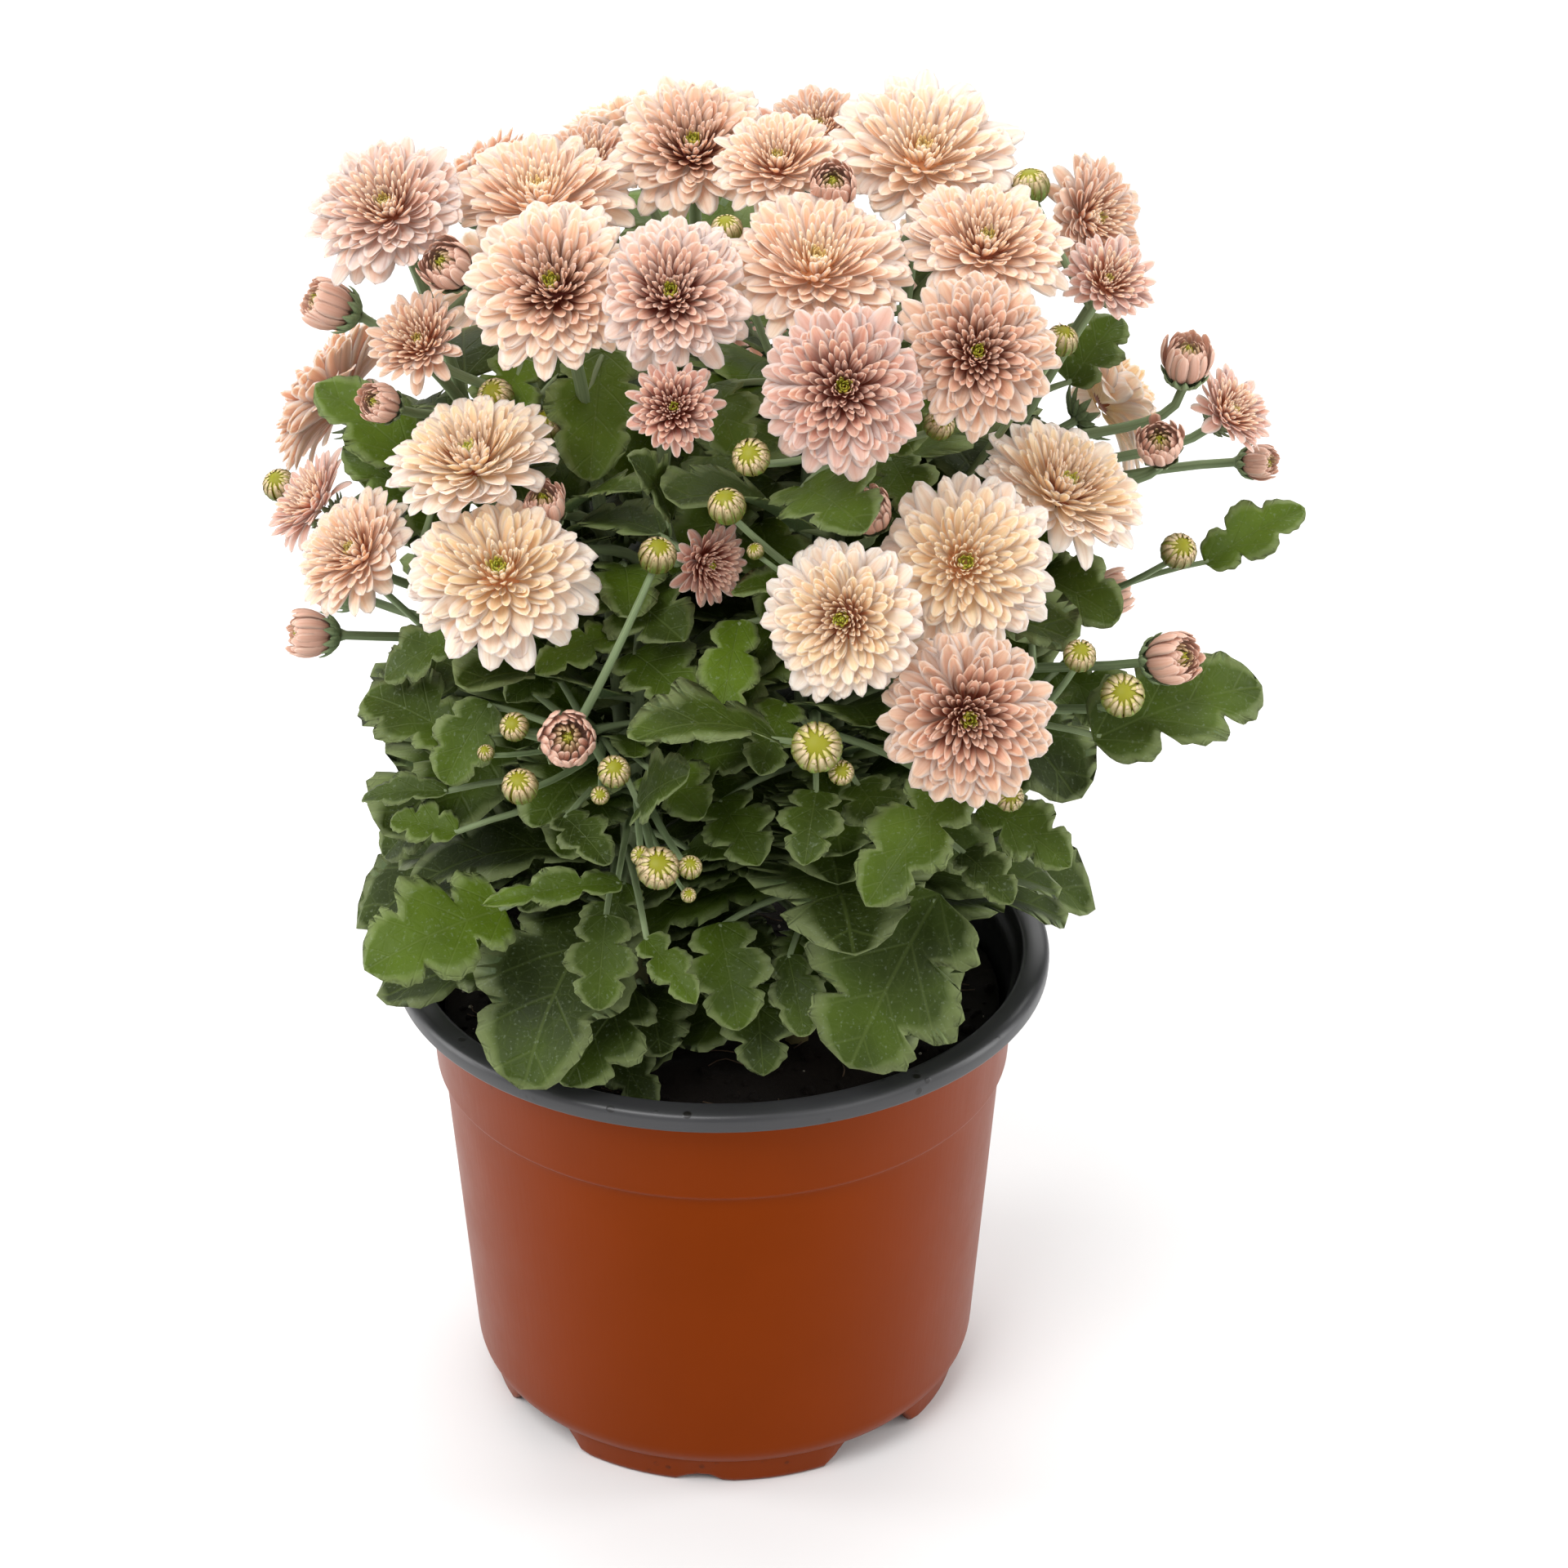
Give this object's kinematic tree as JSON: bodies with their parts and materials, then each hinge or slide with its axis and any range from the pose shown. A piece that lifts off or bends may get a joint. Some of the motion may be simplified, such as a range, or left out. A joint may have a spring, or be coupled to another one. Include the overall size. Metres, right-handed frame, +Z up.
{
  "type": "pot chrysanthemum",
  "caption": "Potted chrysanthemum: leafy stems with peach and pink double blooms and half-open buds, growing in soil in a terracotta-coloured plastic pot.",
  "frame": {"origin": "on the pot's axis, in the plane that the pot stands on", "axes": "+Z up the pot's axis, -Y towards the front of the plant"},
  "size_m": [0.2126, 0.1827, 0.2869],
  "materials": {
    "greenery": "satin",
    "petals": "matte",
    "bud_petals": "matte",
    "pot_plastic": "satin",
    "soil": "matte"
  },
  "bodies": {
    "root": {"leafy_stem_1": "greenery", "leafy_stem_2": "greenery", "leafy_stem_3": "greenery", "leafy_stem_4": "greenery", "leafy_stem_5": "greenery", "bloom_01": "petals", "bloom_02": "petals", "bloom_03": "petals", "bloom_04": "petals", "bloom_05": "petals", "bloom_06": "petals", "bloom_07": "petals", "bloom_08": "petals", "bloom_09": "petals", "bloom_10": "petals", "bloom_11": "petals", "bloom_12": "petals", "bloom_13": "petals", "bloom_14": "petals", "bloom_15": "petals", "bloom_16": "petals", "bloom_17": "petals", "bloom_18": "petals", "bloom_19": "petals", "bloom_20": "petals", "bloom_21": "petals", "bloom_22": "petals", "bloom_23": "petals", "bloom_24": "petals", "bloom_25": "petals", "bloom_26": "petals", "bloom_27": "petals", "bloom_28": "petals", "bloom_29": "petals", "bloom_30": "petals", "bloom_31": "petals", "bloom_32": "petals", "bloom_33": "petals", "bloom_34": "petals", "bloom_35": "petals", "bloom_36": "petals", "bud_01": "bud_petals", "bud_02": "bud_petals", "bud_03": "bud_petals", "bud_04": "bud_petals", "bud_05": "bud_petals", "bud_06": "bud_petals", "bud_07": "bud_petals", "bud_08": "bud_petals", "bud_09": "bud_petals", "bud_10": "bud_petals", "bud_11": "bud_petals", "bud_12": "bud_petals", "bud_13": "bud_petals", "bud_14": "bud_petals", "bud_15": "bud_petals", "bud_16": "bud_petals", "bud_17": "bud_petals", "pot": "pot_plastic", "soil": "soil"}
  },
  "joints": []
}
